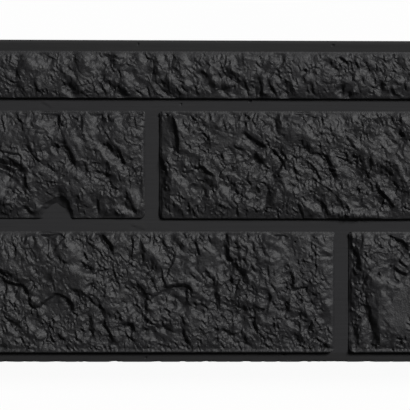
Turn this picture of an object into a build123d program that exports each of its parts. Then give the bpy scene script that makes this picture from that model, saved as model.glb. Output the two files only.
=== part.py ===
from build123d import *
import math
import os
import random

# Concrete gravel board for a slotted-post fence: one casting with a plain back and a face of rock-cut stones.
# It lies on its back. X runs along the board, Y is up the board as it stands in a fence, Z is out of its face.
# The origin is the centre of the back. All lengths are millimetres and all angles are degrees.

# The slab
board_length = 1840.0
board_height = 360.0
slab_thickness = 36.0
top_arris_radius = 4.0

# The stone pattern: margins and joints lie flush with the slab, and the bottom course takes what height is left
top_margin = 13.0
bottom_margin = 11.0
end_tongue = 30.0
bed_joint = 14.0
perpend_joint = 16.0
top_course = 52.5
middle_course = 120.5
stone_pitch = 636.0
shortest_stone = 60.0

# One stone: a drafted block with rounded corners
stone_projection = 12.0
corner_radius = 5.0
side_draft = 12.0

# The broken rock face: flat facets between slanting lines, on a crown that falls away towards the stone's edges
facet_size = 16.5
grain_slant = 22.0
facet_scatter = 0.24
facet_roughness = 1.1
crown_height = 7.5
shoulder_width = 24.0
arris_height = 4.5
lowest_rock = 1.5
form_step = 1.35
rock_seed = 5214

# Main crests and hollows of the rock in the top, middle and bottom course: distance along from the course's
# joint, distance up from its lower edge, reach, and rise over the crown in steps. They repeat with every stone.
rock_forms = [
    [
        (20, 28, 13, -2.0), (75, 24, 17, 2.5), (120, 45, 9, -2.5), (135, 30, 10, 2.5), (160, 39, 11, -2.0),
        (178, 18, 10, 2.5), (204, 16, 10, -2.0), (220, 34, 9, 1.5), (243, 17, 10, 2.5), (261, 30, 9, -1.5),
        (280, 27, 12, 2.0), (310, 12, 11, -1.5), (335, 24, 12, 2.5), (356, 44, 10, -2.0), (363, 8, 9, -2.0),
        (397, 23, 13, 2.5), (420, 45, 10, -2.5), (431, 8, 9, -2.0), (442, 21, 9, 1.5), (471, 14, 9, -2.0),
        (489, 16, 11, 2.0), (525, 30, 13, -2.0), (555, 22, 13, 2.5), (590, 34, 13, -2.0), (618, 20, 11, 2.0),
    ],
    [
        (8, 30, 9, -3.0), (8, 60, 9, -3.0),
        (14, 88, 10, -3.0), (31, 99, 13, 3.0), (25, 45, 12, 2.5), (38, 21, 11, 2.5), (56, 43, 13, -3.0),
        (59, 86, 9, -1.5), (78, 19, 13, 2.0), (115, 101, 11, 2.0), (123, 59, 15, -3.0), (123, 23, 10, -3.0),
        (149, 32, 13, 2.5), (165, 94, 19, 3.0), (176, 63, 15, -2.5), (195, 32, 10, 1.5), (203, 68, 9, 1.0),
        (234, 52, 12, -3.5), (250, 18, 13, -3.5), (250, 72, 15, 3.5), (266, 47, 9, -2.0), (284, 54, 10, 3.0),
        (320, 85, 15, -3.0), (352, 52, 15, 3.0), (388, 100, 15, 2.5), (400, 28, 15, -3.0), (438, 75, 13, -2.5),
        (471, 15, 16, 3.0), (469, 52, 16, -3.5), (471, 79, 15, 3.0), (507, 95, 13, 2.5), (530, 108, 10, -2.0),
        (530, 77, 10, -2.0), (549, 85, 12, 2.0), (553, 41, 16, 3.0), (532, 12, 15, -5.0), (577, 48, 12, -2.0),
        (580, 106, 9, -2.0), (600, 88, 15, 2.0), (597, 52, 10, 1.5), (611, 21, 10, -1.5),
    ],
    [
        (8, 98, 9, -3.0), (10, 35, 9, -2.5),
        (24, 114, 12, 3.0), (18, 58, 10, -2.5), (40, 78, 13, 3.5), (49, 40, 15, 3.0), (70, 24, 13, 2.5),
        (71, 84, 12, -3.0), (32, 24, 10, -2.0), (98, 58, 15, 2.0), (110, 108, 15, -2.5), (138, 24, 13, -2.5),
        (155, 90, 15, 3.0), (188, 47, 15, -3.0), (210, 103, 13, 2.5), (233, 25, 13, 2.0), (265, 100, 18, 3.5),
        (262, 69, 15, -3.5), (287, 36, 13, -2.5), (324, 112, 12, 2.0), (335, 79, 17, 3.5), (317, 49, 16, -3.0),
        (356, 116, 12, -2.5), (374, 57, 12, 3.0), (371, 27, 12, -2.0), (407, 62, 12, -2.5), (423, 106, 12, 2.5),
        (460, 94, 16, 2.0), (449, 64, 13, -3.5), (432, 40, 11, 1.0), (466, 33, 12, 2.0), (509, 96, 13, -3.0),
        (502, 48, 16, -2.5), (542, 114, 15, 3.0), (552, 75, 15, 2.5), (549, 40, 11, 1.5), (578, 116, 11, -2.0),
        (522, 22, 10, -1.5), (606, 103, 13, 1.5), (578, 64, 10, -1.5), (603, 39, 10, 1.5),
    ],
]

joint_floor = slab_thickness
bottom_course = board_height - top_margin - top_course - middle_course - 2 * bed_joint - bottom_margin
bond_shift = stone_pitch / 3
face_end = board_length / 2 - end_tongue


def course_edges():
    """The low and high edge of each course of stones, from the top course down."""
    edges = []
    high = board_height / 2 - top_margin
    for course in (top_course, middle_course, bottom_course):
        edges.append((high - course, high))
        high -= course + bed_joint
    return edges


def first_joint(row):
    """A joint near the board's middle: every row's joints lie one bond shift further along."""
    return (row - 1.5) * bond_shift


def stone_ends(row):
    """The left and right end of each stone in a row."""
    reach = math.ceil(board_length / stone_pitch)
    joints = [first_joint(row) + turn * stone_pitch for turn in range(-reach, reach + 1)]
    joints = [joint for joint in joints if abs(joint) < face_end - perpend_joint / 2 - shortest_stone]
    lefts = [-face_end] + [joint + perpend_joint / 2 for joint in joints]
    rights = [joint - perpend_joint / 2 for joint in joints] + [face_end]
    return list(zip(lefts, rights))


def form_height(row, along, up):
    """Height of the main crests and hollows over the crown."""
    total = 0.0
    for form_along, form_up, reach, steps in rock_forms[row]:
        apart = math.remainder(along - form_along, stone_pitch)
        total += steps * form_step * math.exp(-(apart**2 + (up - form_up) ** 2) / reach**2)
    return total


def rock_height(edge_distance, form, chance):
    """Height of the broken face over the joint floor, at a distance inside the stone's edge."""
    inwards = min(1.0, max(0.0, edge_distance) / shoulder_width)
    crown = arris_height + (crown_height - arris_height) * math.sin(math.pi / 2 * inwards)
    return max(lowest_rock, crown + form + chance.uniform(-0.5, 0.5) * facet_roughness)


def make_stone(row, left, right, low, high, chance):
    """One rock-faced stone, standing on the joint floor."""
    centre_x, centre_y = (left + right) / 2, (low + high) / 2
    slant = math.radians(grain_slant)
    half_line = ((high - low) / 2 + facet_size / 2) / math.cos(slant)
    rows = max(2, round((high - low) / facet_size))
    row_step = 2 * half_line / rows
    first = left - half_line * math.sin(slant) - facet_size / 2
    last = right + half_line * math.sin(slant) + facet_size / 2
    stations = math.ceil((last - first) / facet_size)
    station_step = (last - first) / stations

    with BuildPart() as stone:
        for station in range(stations + 1):
            x = first + station * station_step + chance.uniform(-1, 1) * facet_scatter * station_step
            line = Plane(
                origin=(x, centre_y, joint_floor),
                x_dir=(-math.sin(slant), math.cos(slant), 0),
                z_dir=(math.cos(slant), math.sin(slant), 0),
            )
            broken_edge = []
            for step in range(rows + 1):
                along_line = -half_line + step * row_step
                if 0 < step < rows:
                    along_line += chance.uniform(-1, 1) * facet_scatter * row_step
                at_x = x - along_line * math.sin(slant)
                at_y = centre_y + along_line * math.cos(slant)
                edge_distance = min(at_x - left, right - at_x, at_y - low, high - at_y)
                form = form_height(row, at_x - first_joint(row), at_y - low)
                broken_edge.append((along_line, rock_height(edge_distance, form, chance)))
            with BuildSketch(line):
                with BuildLine():
                    Polyline((-half_line, 0), *broken_edge, (half_line, 0), close=True)
                make_face()
        loft(ruled=True)
        with BuildSketch(Plane.XY.offset(joint_floor)):
            with Locations((centre_x, centre_y)):
                RectangleRounded(right - left, high - low, corner_radius)
        extrude(amount=stone_projection, taper=side_draft, mode=Mode.INTERSECT)
    return stone.part


chance = random.Random(rock_seed)
stones = [
    make_stone(row, left, right, low, high, chance)
    for row, (low, high) in enumerate(course_edges())
    for left, right in stone_ends(row)
]

with BuildPart() as gravel_board:
    with BuildSketch(Plane.YZ.offset(-board_length / 2)):
        Rectangle(board_height, slab_thickness, align=(Align.CENTER, Align.MIN))
    extrude(amount=board_length)
    front_edges = gravel_board.edges().filter_by(Axis.X).group_by(Axis.Z)[-1]
    fillet(front_edges.sort_by(Axis.Y)[-1], top_arris_radius)
    add(stones)
gravel_board.part.label = "gravel_board"

os.makedirs("parts", exist_ok=True)
export_step(gravel_board.part, "parts/gravel_board.step")
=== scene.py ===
import functools
import math

import bmesh
import bpy
import numpy as np
from mathutils import Matrix, Vector
from mathutils.bvhtree import BVHTree


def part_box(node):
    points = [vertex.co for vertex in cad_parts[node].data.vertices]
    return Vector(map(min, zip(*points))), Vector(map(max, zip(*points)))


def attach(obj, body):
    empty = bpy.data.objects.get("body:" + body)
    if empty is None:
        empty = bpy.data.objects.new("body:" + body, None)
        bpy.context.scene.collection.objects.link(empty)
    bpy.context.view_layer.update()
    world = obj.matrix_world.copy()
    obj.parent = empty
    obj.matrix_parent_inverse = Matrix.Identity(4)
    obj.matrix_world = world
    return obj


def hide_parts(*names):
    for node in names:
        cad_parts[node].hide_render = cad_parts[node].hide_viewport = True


# Concrete gravel board, lying on its back. X runs along the board, Y is up the board as it stands in a fence,
# and Z is out of its face. Lengths are millimetres from the centre of the back, and metres in the mesh.
MM = 0.001

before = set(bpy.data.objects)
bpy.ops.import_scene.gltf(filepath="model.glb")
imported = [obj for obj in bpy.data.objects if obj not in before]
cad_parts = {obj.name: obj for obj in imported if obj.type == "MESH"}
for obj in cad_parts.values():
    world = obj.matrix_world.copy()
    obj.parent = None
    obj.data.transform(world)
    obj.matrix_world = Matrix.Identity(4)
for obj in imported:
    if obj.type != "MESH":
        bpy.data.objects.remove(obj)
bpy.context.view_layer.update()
BOARD = "gravel_board"
cad_low, cad_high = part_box(BOARD)
BOARD_LENGTH = (cad_high.x - cad_low.x) / MM
BOARD_HEIGHT = (cad_high.y - cad_low.y) / MM
BOARD_DEPTH = (cad_high.z - cad_low.z) / MM

# The cast pattern, with the sizes of the solid model
JOINT_FLOOR = 36.0
TOP_ARRIS = 4.0
TOP_MARGIN, BOTTOM_MARGIN = 13.0, 11.0
BED_JOINT, PERPEND_JOINT = 14.0, 16.0
TOP_COURSE, MIDDLE_COURSE = 52.5, 120.5
END_TONGUE = 30.0
STONE_PITCH = 636.0
SHORTEST_STONE = 60.0
STONE_RISE = BOARD_DEPTH - JOINT_FLOOR
COURSE_NAMES = ("top", "middle", "bottom")
TOP_ROW, MIDDLE_ROW, BOTTOM_ROW = 0, 1, 2

# The photograph: its size in pixels, millimetres to a pixel, and the place on the board at its middle
PHOTO_SIZE = 410
PHOTO_SCALE = 1.1184
VIEW_MIDDLE = Vector((-47.2, -4.55, JOINT_FLOOR))
# The camera: a long lens that looks down, from a little to the left, and is rolled by a hair
LENS, SENSOR = 150.0, 36.0
VIEW_YAW, VIEW_ROLL = math.radians(1.18), math.radians(0.09)
VIEW_DISTANCE = PHOTO_SIZE * PHOTO_SCALE * LENS / SENSOR
VIEW_TURN = Matrix.Rotation(-VIEW_YAW, 3, "Y") @ Matrix.Rotation(VIEW_ROLL, 3, "Z")
VIEW_EYE = VIEW_MIDDLE + VIEW_TURN @ Vector((0, 0, VIEW_DISTANCE))
# Level over the joint floor at which the rock's features are read, and the width over which they fade outside
RELIEF_LEVEL = 6.0
PHOTO_FADE = 10.0
# The run of stones in the photograph repeats along the board, from a seam that the photograph doesn't show
SEAM = -366.0

# Slopes of the broken faces, and the most that one of them drops
BREAK_SLOPE, FALL_SLOPE, RISE_SLOPE = 1.15, 0.50, 0.50
BROAD_FALL_SLOPE, BROAD_RISE_SLOPE = 0.38, 0.25
DEEPEST_BREAK = 4.2
# Width of the steep and the rising faces, as shares of the width that was read
STEEP_NARROWING, RISING_NARROWING = 0.65, 0.9
# A break lifts and lowers the rock beside it by shares of its drop, over a reach that grows with its width
HIGH_SHARE, LOW_SHARE = 0.45, 0.55
FADE = 2.2
LEAST_REACH, REACH_PER_WIDTH = 2.0, 0.8
# A break runs past its line's ends by a share of its width, and tapers there over a share of its length
END_OVERRUN, TAPER_SHARE, LONGEST_TAPER = 0.35, 0.3, 4.0
# Its drop varies along it, as a middle share, swing, size, and seed
UNEVEN_MIDDLE, UNEVEN_SWING, UNEVEN_SIZE, UNEVEN_SEED = 0.95, 0.5, 5.5, 81
# A break matters to the courses that it comes this near to
COURSE_REACH = 10.0
# Where two runs of a line are equally near a point, the one more squarely beside it wins by this share
SQUARE_BIAS = 0.001

# Breaks where the photograph doesn't show the rock, and small flakes everywhere: share of each kind, slope,
# and the narrowest and widest face
BREAK_KINDS = [(0.42, BREAK_SLOPE, 2.2, 5.0), (0.14, FALL_SLOPE, 5.0, 10.0), (0.44, -RISE_SLOPE, 3.0, 8.0)]
FLAKE_KINDS = [(0.5, 1.0, 0.9, 2.2), (0.5, -0.7, 0.9, 2.4)]
# Area for each of them, and the shortest and longest run of their lines
BREAK_AREA, BREAK_RUN = 260.0, (4.0, 10.0)
FLAKE_AREA, FLAKE_RUN = 45.0, (2.0, 6.0)
FLAKE_REACH = 1.3
# Spread of a line's heading about the grain, and of its turn from run to run
HEADING_SPREAD, TURN_SPREAD = 0.5, 0.4

# The rock's grain runs down to the right
GRAIN_ANGLE = math.radians(-66)
# Side of the tables of random numbers
TABLE = 128
# Facets: bend of their creases and its size, in cells, and the skew that makes triangles of squares
CREASE_BEND, CREASE_BEND_SIZE, SKEW = 0.45, 1.7, 0.366
CHIP_TILT = 3.0
# Fine relief of the rock, as height, size, stretch along the grain, and seed
BROAD_FACETS = (0.15, 13.0, 1.6, 61)
FINE_FACETS = [(0.10, 5.2, 1.5, 64), (0.17, 2.6, 1.0, 67)]
CHIP_LAYERS = [(0.14, 7.0, 1.2, 70), (0.20, 3.6, 1.1, 71)]
GRIT = 0.06
# The fine relief swells and fades along the rock, and is weaker on smooth plates, which fade over an edge
ROUGH_SWING, ROUGH_SIZE, ROUGH_SEED = 0.4, 24.0, 15
PLATE_CALM, PLATE_CORE, PLATE_EDGE = 0.75, 0.5, 0.625
# Wander of the breaks' lines and jags of the chips, as amount, size, and seeds along X and Y
BEND, BEND_SIZE, BEND_SEEDS = 0.5, 6.0, (11, 14)
LINE_JAG, CHIP_JAG, JAG_SIZE, JAG_SEEDS = 0.3, 0.5, 2.4, (73, 76)

# How high the rock may stand at a stone's edges: height on the edge and rise inwards
LEFT_FOOT, LEFT_WALL = 0.5, 1.6
LEFT_SHOULDER, LEFT_RISE = 3.9, 0.5
LOWER_SHOULDER, LOWER_RISE = 0.3, 0.3
UPPER_EDGE, UPPER_RISE = 2.8, 0.5
RIGHT_EDGE, RIGHT_RISE = 3.0, 1.2
EDGE_ROUNDING = 0.6
# The arris that the upper edge keeps where the rock behind it is low
ARRIS_FOOT, ARRIS_RISE, ARRIS_WIDTH, ARRIS_FALL = 1.8, 0.5, 3.0, 0.6
# Width of the step down to the lower edge, and rise and width of the lip along the bottom course
LOWER_STEP = 0.9
LIP_RISE, LIP_WIDTH = 1.6, 4.6
# The broken detail is calmer close to the edges, as a least share and a width, and in the top course
EDGE_CALM, EDGE_CALM_WIDTH = 0.45, 6.0
UPPER_CALM, UPPER_CALM_WIDTH = 0.25, 3.5
TOP_COURSE_CALM = 0.87
# Heights level off towards the ends of a range, and stay under the highest point of the solid
MIDDLE_LEVEL, HALF_RANGE = 6.0, 5.6
CLEARANCE = 0.3

# Blow holes: depth, and share of the radius with a flat floor, in the rock and in the cast surface
ROCK_HOLE_DEPTH, ROCK_HOLE_FLOOR = 2.6, 0.3
CAST_HOLE_DEPTH, CAST_HOLE_FLOOR = 1.6, 0.4
# Waves of the cast surface, as depth, squeeze along the board, size, and seed
CAST_WAVES = [(0.12, 1.0, 30.0, 41), (0.06, 0.4, 5.0, 42)]
SCRATCH_WIDTH, SCRATCH_DROP, SCRATCH_REACH = 1.5, 0.8, 3.2
# Nicks in the slab's lower edge, as share, size, and seed, and how wide and deep they are
NICKS = [(0.6, 9.0, 43), (0.5, 3.5, 44)]
NICK_WIDTH, NICK_INSET, NICK_DROP = 2.2, 0.9, 1.6

# The mesh of the relief
CELL = 0.9
FAR_CELL = 1.7
VIEW_MARGIN = 8.0
SLAB_CELL = 1.5
HIDDEN_CELL = 8.0
ARRIS_ROWS = 7
SOLID_CELL, SOLID_INSET, SOLID_PASSES = 4.0, 2.0, 2
CREASE = math.radians(16)
WALL_INSET = 0.2
WALL_FOOT = 1.0
TOP_CORNER, BOTTOM_CORNER = 3.0, 6.0

# Finishes: base shade, roughness, depth of the sandy grain, and strength of the streaks
ROCK_FINISH = ("rock_concrete", 0.0130, 0.46, 0.8, 0.0)
CAST_FINISH = ("cast_concrete", 0.0192, 0.72, 0.12, 0.40)
SPECULAR = 0.4
# The base shade's two tints, and the noises, by scale to the metre, that mix and mark them
NEUTRAL_TINT, BLUISH_TINT = (1, 1, 1.015), (1, 0.97, 1.14)
CLOUD_SCALE, SAND_SCALE, STREAK_SCALE = 5.0, 520.0, 300.0
EVEN, DRAWN_OUT = (1, 1, 1), (0.03, 1, 1)
SAND_SHARE, ROUGHNESS_SWING, GRAIN_STRENGTH = 0.35, 0.08, 0.6
SAND_SHADE = (0.019, 0.019, 0.020, 1)
STREAK_SHADE = (0.0085, 0.0085, 0.0088, 1)
# Painted shade that dims the light on the top arris and darkens the margin under the stones: colour, and
# where it starts
TOP_PAINTED_SHADE, TOP_PAINTED_SHADE_Y = (0.0140, 0.0140, 0.0143, 1), cad_high.y - (TOP_MARGIN - 0.5) * MM
FOOT_PAINTED_SHADE, FOOT_PAINTED_SHADE_Y = (0.0118, 0.0116, 0.0124, 1), cad_low.y + (BOTTOM_MARGIN - 0.5) * MM

# The studio: the key light's direction, strength and softness, the fill, and a floor in metres
KEY_TURN, KEY_RISE = math.radians(44), math.radians(42)
KEY_STRENGTH, KEY_SOFTNESS = 3.3, math.radians(20)
FILL_STRENGTH = 0.07
FLOOR_HALF, FLOOR_DROP = 60.0, 0.0004
FLOOR_GLOW = 0.95

# Steep breaks in the rock, read from the photograph. Each entry is the width of the face and then the
# points of its line, in photo pixels. The low ground is on the line's right hand.
STEEP_BREAKS = [
    # Top course
    (3, 33, 80, 36, 86, 38, 92), (2, 59, 64, 61, 71, 66, 75), (3.5, 100, 81, 103, 88, 107, 96),
    (4, 102.5, 62.5, 107, 66.5), (2, 46, 54.5, 52, 58, 57, 60), (2, 58, 52, 57.3, 60),
    (2.5, 16.8, 67.5, 17.6, 73, 22, 80.5), (2, 25.5, 68, 26.5, 73), (2.5, 114.5, 52.5, 117, 60.5),
    (2, 58, 90, 60, 97), (2.5, 76, 73.5, 78, 80), (2.5, 152.5, 53, 156, 60.5, 159, 66),
    (3.5, 173, 53, 176.5, 61), (2.5, 153.5, 80, 161, 87, 170, 96), (2.5, 147.5, 86, 150, 95.5),
    (2.5, 167, 72, 165.5, 80), (4, 200, 70, 205.5, 74, 209, 79.5), (2.5, 204, 60, 211, 66.5),
    (3, 195, 85, 198.5, 96), (2.5, 181, 85, 187, 91.5), (2.5, 229, 75, 233, 82), (3, 245, 80, 250, 97),
    (5, 258, 76, 262, 84, 261.5, 97), (2.5, 267, 78, 275, 93), (2.5, 242, 52, 243.5, 60),
    (2, 226.5, 55, 225.5, 62), (3.5, 285.5, 53, 284, 62, 280, 68), (2, 279.5, 68, 279, 74),
    (3, 270, 83, 275, 92, 278, 98), (3, 303, 69, 308, 72), (2, 311, 64, 312, 68),
    (3, 310, 80, 312.5, 85, 313, 95), (2.5, 315.5, 71.5, 316.5, 75), (4, 339, 56, 345, 61, 350, 64),
    (3, 354, 54, 356, 62, 360, 69), (4, 353, 73, 353, 82), (3, 343, 86, 345, 97), (4, 350, 91, 351, 98),
    (2.5, 376, 62, 377, 73), (2.5, 362, 76, 363.5, 84), (2.5, 369, 86, 376, 87.5, 381, 84),
    (4, 382, 80, 383.5, 92), (3.5, 391, 87, 395, 95, 402, 96), (3, 404, 82, 406, 90),
    (2.5, 392, 70, 397, 73), (2, 383.5, 54, 384.5, 62),
    # Middle course, left stone
    (2.5, 1, 113, 3.5, 124, 5.5, 134), (2.5, 15, 112, 19, 118, 22.5, 126, 23.5, 133),
    (3, 26.5, 131, 31, 135, 33, 140), (4, 26.5, 143.5, 31, 151, 35, 157, 40, 162.5),
    (4, 0, 151, 10, 152.5, 20, 155), (7, -4, 160, 11, 163, 20, 166, 24, 172),
    (3.5, 24, 170, 26, 180, 27.5, 190), (4, 58, 113, 60, 127), (3, 60, 127, 64, 137, 67, 142),
    (3.5, 54.5, 142, 60, 148.5), (6, 63, 140, 68, 146, 71, 150), (5, 70, 150, 73, 157, 76, 165),
    (3, 81.7, 114, 82.7, 133), (1.5, 68, 135.5, 80, 123.5), (3.5, 84, 162, 88.5, 173),
    (2.5, 101, 113, 105, 122), (2.5, 107, 113, 112, 123), (2, 97, 124, 101, 134), (2, 104, 130, 113, 145),
    (3.5, 107, 141, 114, 151), (4, 118, 149, 122, 158, 126, 165), (3, 129, 156, 133, 161),
    (3.5, 93, 148.5, 99, 151.5), (4, 107, 161, 110, 170), (3.5, 95, 171, 104, 173, 113, 176),
    (2.5, 92, 163, 101, 163), (2.5, 109, 180, 113, 186, 118, 190),
    (3, 125, 189.5, 129, 199, 133, 207, 137.5, 213.5), (3.5, 98, 199, 99, 215), (3, 68.5, 200, 70, 213),
    (3, 70, 190, 73, 196), (3, 47, 163, 52, 168, 55, 172), (2.5, 74, 176, 80, 183), (2.5, 36, 181, 41, 184),
    (2.5, 44, 181, 57, 183), (5, 24, 205, 31, 213, 36, 216), (4, 0, 213, 6, 215, 12, 218),
    (2, 83, 210, 85.5, 216), (2.5, 58, 205, 64, 209), (2, 134, 115, 136, 128),
    (3, 130, 178, 136, 168, 142, 166), (6, -4, 165, 8, 168, 17, 172), (5, -3, 170, 6, 173, 12, 177),
    (4, 8, 158, 16, 161, 22, 166),
    # Middle course, right stone
    (6, 386, 166, 391, 172, 391, 180), (5, 381, 164, 386, 170, 387, 178), (5, 376, 160, 381, 168, 382, 178),
    (4, 370, 158, 375, 168), (5, 173, 118, 176, 128, 178, 140, 177, 152), (4, 168, 112, 169, 123),
    (4, 160.5, 157, 166, 170, 167, 176), (7, 163, 176, 164, 190), (2, 196.5, 113, 196, 121),
    (2, 181, 120, 186, 127, 191, 131.5), (2.5, 209, 112, 211, 121), (3.5, 243, 112, 248, 117, 251, 120),
    (3, 246, 121, 246, 128), (4, 243.5, 132, 251, 137.5, 258, 142, 266, 147),
    (3, 233, 145, 238, 148.5, 244, 150), (3.5, 255, 152, 259, 159, 264, 164),
    (3.5, 273, 151, 279, 157, 282.5, 162, 280, 168, 272, 175), (2.5, 285, 154, 288.5, 161),
    (2.5, 221.5, 153, 224.5, 162), (3, 226.5, 165, 222, 172, 219, 177), (5, 198, 164, 206, 171, 215, 177),
    (2.5, 213, 185, 213.5, 192), (2, 181, 171, 187, 173, 193, 169), (2, 189, 160, 193, 168),
    (3, 231.5, 182, 236, 186), (3, 241, 193, 244.5, 199), (2.5, 236, 189, 239, 194),
    (2, 267, 183, 269, 190), (2.5, 205, 192, 208, 198), (2.5, 214, 201, 222, 206, 229, 209),
    (2, 169, 205, 170, 215), (2.5, 188, 200, 191, 215), (2.5, 197, 203, 199, 215), (3, 237, 207, 238, 218),
    (3, 246, 178, 252, 186), (5, 302, 135, 308, 142, 309, 150), (3, 309, 137, 310.5, 141),
    (3.5, 310, 152, 323, 153.5), (4, 325, 153, 328, 160, 333, 168, 336, 172), (2.5, 296, 159, 302, 156),
    (3, 283, 151, 286, 158, 288, 163), (3, 291, 163, 295, 170, 300, 173),
    (2.5, 306, 160, 314, 167, 317, 171), (3, 315, 168, 318, 175, 322, 181),
    (2.5, 311, 176, 318, 182, 328, 189, 335, 193), (2.5, 334, 193, 340, 200, 344, 210),
    (3, 320, 200, 325, 206, 328, 216), (3.5, 346, 135, 350, 142, 355, 148, 360, 152),
    (3, 359, 133, 362, 126, 368, 118), (3, 347, 154, 348, 163), (4, 371, 152, 371, 164, 369, 177),
    (8, 391, 163, 397, 170, 396, 178), (3, 384, 161, 391, 163),
    (3.5, 376, 184, 381, 192, 388, 199, 396, 208), (3, 371, 182, 373, 192),
    (3, 393, 180, 400, 190, 407, 192), (3, 400, 179, 408, 185), (3.5, 398, 132, 403, 135, 406, 137),
    (3, 376, 113, 379, 116), (2, 386, 121, 387.5, 126), (2.5, 400, 112, 401, 124),
    (2.5, 288, 183, 296, 186), (2.5, 295, 176, 299, 181), (4, 357, 188, 361, 190), (3, 297, 203, 302, 214),
    (3, 346, 206, 350, 212),
    # Bottom course, left stone
    (3, 11, 240, 15, 247, 18, 252), (4, 33, 234, 36, 241, 35.5, 247),
    (3, 55, 232.5, 61, 234, 64.5, 238, 60, 243, 55, 250), (4, 58, 253, 62, 260, 68, 264),
    (5, 101, 234, 107, 241, 113, 247, 112, 254), (3, 79.5, 260, 87, 265.5, 96, 271),
    (2.5, 97, 271, 110, 269), (5, -4, 268, 7, 272, 14, 276), (5, -4, 275, 6, 281, 13, 284, 21, 286),
    (5, 21, 282, 26, 289, 30, 294, 30, 303), (3, 7, 283, 6, 291, 3, 300), (4, 29, 303, 33, 307, 37, 308),
    (3.5, 37, 308, 45, 302, 55, 294, 61, 294.5), (4.5, 61, 294.5, 67, 298, 72, 304),
    (6, 68, 297, 72, 305, 74, 311), (5, 73, 289, 80, 291, 86, 296), (3, 86, 293, 93, 302, 97, 306),
    (3, 99, 303, 104, 310, 107, 315), (4, 90, 315, 92, 326, 93, 338),
    (4, 103, 318, 106, 326, 111, 335, 113, 342), (3, 45, 322, 50, 326, 54, 330),
    (4, 58, 333, 62, 338, 66, 340), (4, 52, 318, 55, 323), (4, 7, 318, 13, 322, 18, 324),
    (3, 19, 324, 24, 318, 28, 311), (3, 21, 336, 24, 344), (3, 37, 309, 38, 318), (3, 43, 283, 44, 288),
    (2.5, 53, 281, 55, 292), (3, 80, 328, 87, 333), (2.5, 75, 330, 77, 342), (3, 50, 334, 54, 342),
    (3, 84, 287.5, 90, 283.5, 97, 283), (3, 48, 252, 50, 260), (3, 105, 286, 104, 300),
    (3, 113, 264, 116, 280), (3, 131.8, 234, 133, 244, 132, 258), (5, 143, 252, 144, 262),
    (2.5, 142, 243, 143, 252), (5, 152, 256, 155, 262, 157, 268), (3, 145, 263, 149, 270),
    (4, 151, 277, 154, 283, 156, 289), (3, 162, 269, 163, 278, 166, 286),
    (3.5, 171, 245, 175, 252, 174, 260, 170, 268, 167, 276), (3, 163, 240, 166, 247),
    (6, 177, 240, 181, 245, 184, 250), (3, 184, 233, 187, 239), (3, 195, 241, 198, 249, 200, 256),
    (2.5, 205, 269, 209, 274, 211, 280), (2.5, 188, 271, 196, 279), (3, 149, 299, 157, 294, 166, 289),
    (6.5, 166, 288.5, 174, 285, 184, 285, 189, 287), (5, 188, 285, 192, 290, 192, 297),
    (4.5, 186.5, 290, 188, 297, 187, 303), (3, 193, 302, 197, 306), (3.5, 200, 302, 206, 307, 208, 309),
    (6, 215, 291, 218, 300, 219, 311), (3.5, 141, 287, 146, 294, 149, 300), (4.5, 145, 299, 147, 312),
    (2.5, 145, 319, 149, 320), (3, 164, 308, 171, 313), (4, 161, 317, 168, 321), (3.5, 183, 317, 185, 325),
    (5, 182, 328, 186, 337, 191, 345), (3, 199, 327, 203, 334, 210, 331), (2.5, 201, 318, 205, 325),
    (4, 120, 315, 121.5, 321), (5, 121, 323.5, 133, 324), (4, 133, 324, 135, 333), (8, 111, 334, 114, 343),
    (4, 128, 336, 137, 342), (2.5, 134, 303, 140, 308, 144, 314), (3, 126, 306, 128, 312),
    (5, 227, 232, 228, 246, 228, 258), (2, 124, 284, 131, 291), (3, 220, 315, 226, 319),
    (3, 222, 328, 229, 334), (4, 229, 257, 233, 261), (3, 236, 262, 239, 269), (3, 247, 233, 249, 238),
    (4, 246, 245, 247, 255), (4, 261, 242, 264, 250, 266, 256), (4, 256, 256, 258, 266),
    (3, 264, 260, 268, 265, 269, 277), (4, 244, 277, 250, 284), (3, 240, 278, 237, 287, 235, 297),
    (3, 231, 274, 233, 286), (3.5, 251, 280, 256, 287, 257, 293), (4, 258, 287.5, 266, 289, 270, 291),
    (4, 268, 291, 271, 297, 269, 302, 267, 313), (3, 272, 284, 277, 292, 279, 299),
    (3, 252, 304, 258, 308, 266, 309), (5, 243, 305, 248, 312), (5, 253, 321, 258, 331),
    (3, 226, 309, 233, 312), (4, 290, 270, 293, 278, 292, 289), (4, 289, 300, 288, 312),
    (3, 294, 291, 300, 287, 308, 287), (4, 305, 311, 307, 318), (5, 313, 321, 309, 332),
    (4, 312, 293, 317, 295), (2.5, 312, 241, 312, 262), (2, 315.5, 243, 316, 272),
    (2.5, 303, 259, 306, 265), (2.5, 298, 259, 299, 265), (2.5, 300, 270, 304, 275),
    (2, 275, 318, 283, 319), (3, 274, 323, 276, 326), (3, 244, 336, 248, 344),
    (3, 227, 330, 232, 334, 240, 333), (5, 325, 343, 329, 348), (5, 236, 240, 240, 252),
    (5, 243, 256, 249, 268), (4, 236, 252, 241, 262), (4, 252, 240, 255, 252), (4, 250, 262, 256, 272),
    (4, 232, 246, 236, 256),
    # Bottom course, right stone
    (6, 354, 246, 359, 256, 358, 270), (4, 360, 262, 361, 272), (4, 353, 268, 356, 276),
    (6, 354, 322, 356.5, 333, 357.5, 345), (3.5, 363, 233, 362, 250), (3, 371, 246, 366, 256, 364, 262),
    (4, 379, 244, 383, 248), (2.5, 372, 252, 380, 252.5, 389, 255.5),
    (3.5, 386, 235, 395, 238, 402, 241, 409, 247), (4, 398, 259, 403, 264, 408, 268),
    (5, 393, 267, 400, 272, 407, 275), (3, 368, 268, 371, 270), (4, 368, 273, 364, 285),
    (3.5, 371, 277, 370, 287), (3, 382, 318, 388, 324, 391, 329), (3, 399, 334, 402, 342, 404, 345),
    (2.5, 393, 297, 391, 303),
]
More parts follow.
